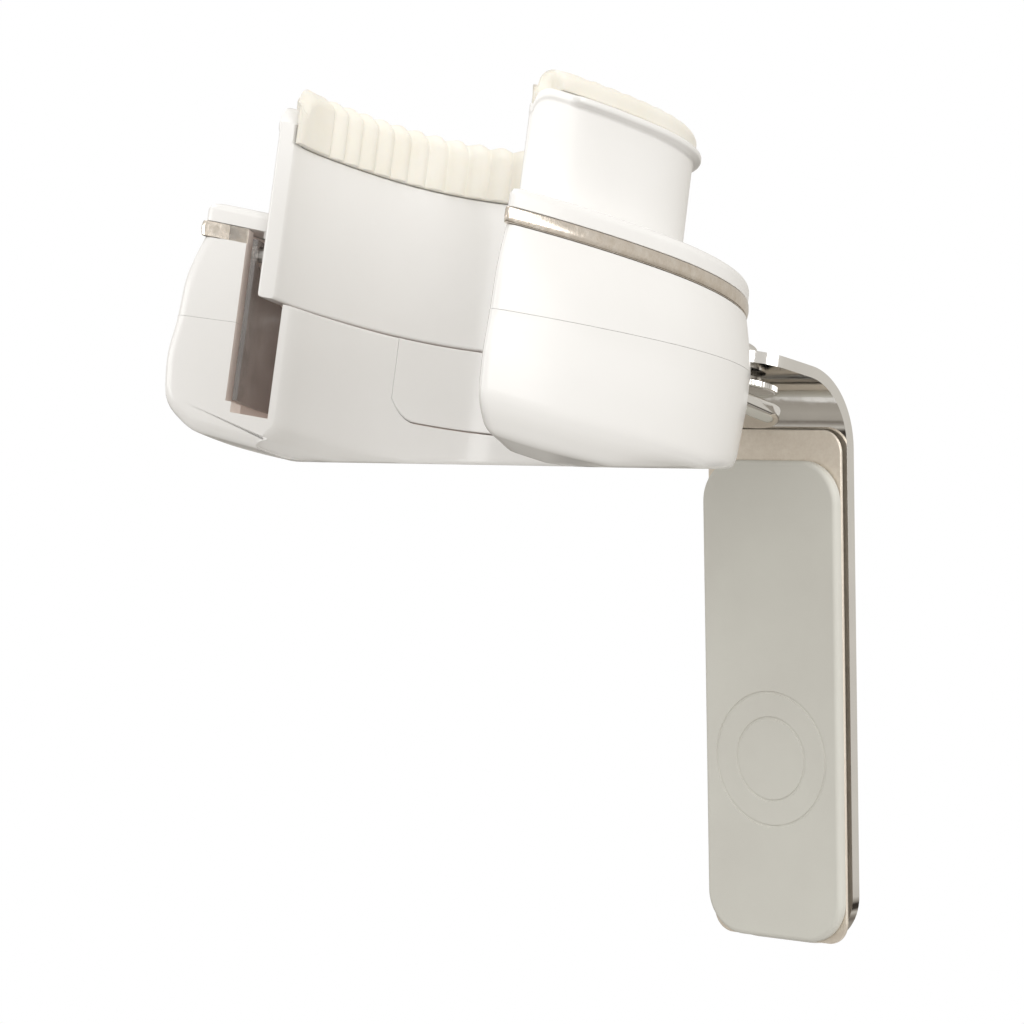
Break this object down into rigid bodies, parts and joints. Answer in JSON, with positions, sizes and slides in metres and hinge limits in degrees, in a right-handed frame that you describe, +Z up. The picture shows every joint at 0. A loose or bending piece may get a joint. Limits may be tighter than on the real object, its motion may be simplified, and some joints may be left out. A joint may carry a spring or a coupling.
{
  "type": "wall yoke with self-closing gates",
  "caption": "Wall-mounted swivelling yoke that holds an instrument by its neck: a sprung cradle sinks under load and pushes curved gates across the mouth.",
  "frame": {"origin": "on the wall face, at the back of the bracket's long leg, on its centre line", "axes": "+Y into the wall, +Z up, +X to the right seen from the front"},
  "size_m": [0.0754, 0.1195, 0.1497],
  "materials": {
    "white_plastic": "glossy moulded white",
    "cream_elastomer": "matt ribbed elastomer",
    "grey_elastomer": "matt smooth elastomer",
    "chrome": "polished",
    "satin_metal": "satin, warm tint",
    "steel": "plain zinc",
    "clear_plastic": "dark translucent"
  },
  "bodies": {
    "bracket": {"bracket_arm": "chrome", "backing_plate": "satin_metal", "grip_pad": "grey_elastomer", "pivot_disc": "chrome", "pivot_washer": "chrome", "pivot_screw": "chrome", "rivet_1": "steel", "rivet_2": "steel", "rivet_3": "steel"},
    "yoke": {"lower_shell": "white_plastic", "upper_shell": "white_plastic", "top_cap": "white_plastic", "access_panel": "white_plastic", "trim_band": "chrome", "tongue": "chrome", "tongue_plate": "steel", "tongue_screw_left": "steel", "tongue_screw_right": "steel", "shell_screw_left": "steel", "shell_screw_right": "steel", "shell_screw_back_left": "steel", "shell_screw_back_right": "steel", "spring_post_left": "white_plastic", "return_spring_left": "steel", "spring_post_right": "white_plastic", "return_spring_right": "steel"},
    "cradle": {"cradle_sleeve": "white_plastic", "cradle_pad": "cream_elastomer", "drive_pin_left": "steel", "drive_pin_right": "steel", "sleeve_foot_left": "white_plastic", "sleeve_foot_right": "white_plastic"},
    "gate_left": {"gate_left": "clear_plastic"},
    "gate_right": {"gate_right": "clear_plastic"}
  },
  "joints": [
    {"name": "swivel", "type": "hinge", "parent": "bracket", "child": "yoke", "pos_m": [0, -0.01703, 0.05297], "axis": [0, 0.2147, 0.9767], "range_deg": [-20, 20]},
    {"name": "cradle_slide", "type": "slide", "parent": "yoke", "child": "cradle", "axis": [0, -0.2147, -0.9767], "range_m": [0, 0.012], "stiffness_N_per_m": 600, "springref_m": -0.01, "deforming": ["return_spring_left", "return_spring_right"]},
    {"name": "gate_left_turn", "type": "hinge", "parent": "yoke", "child": "gate_left", "pos_m": [0, -0.08843, 0.06867], "axis": [0, 0.2147, 0.9767], "range_deg": [0, 42]},
    {"name": "gate_right_turn", "type": "hinge", "parent": "yoke", "child": "gate_right", "pos_m": [0, -0.08843, 0.06867], "axis": [0, 0.2147, 0.9767], "range_deg": [-42, 0]}
  ],
  "couplings": [
    {"joint": "gate_left_turn", "follows": "cradle_slide", "rad_per_m": 61},
    {"joint": "gate_right_turn", "follows": "cradle_slide", "rad_per_m": -61}
  ]
}
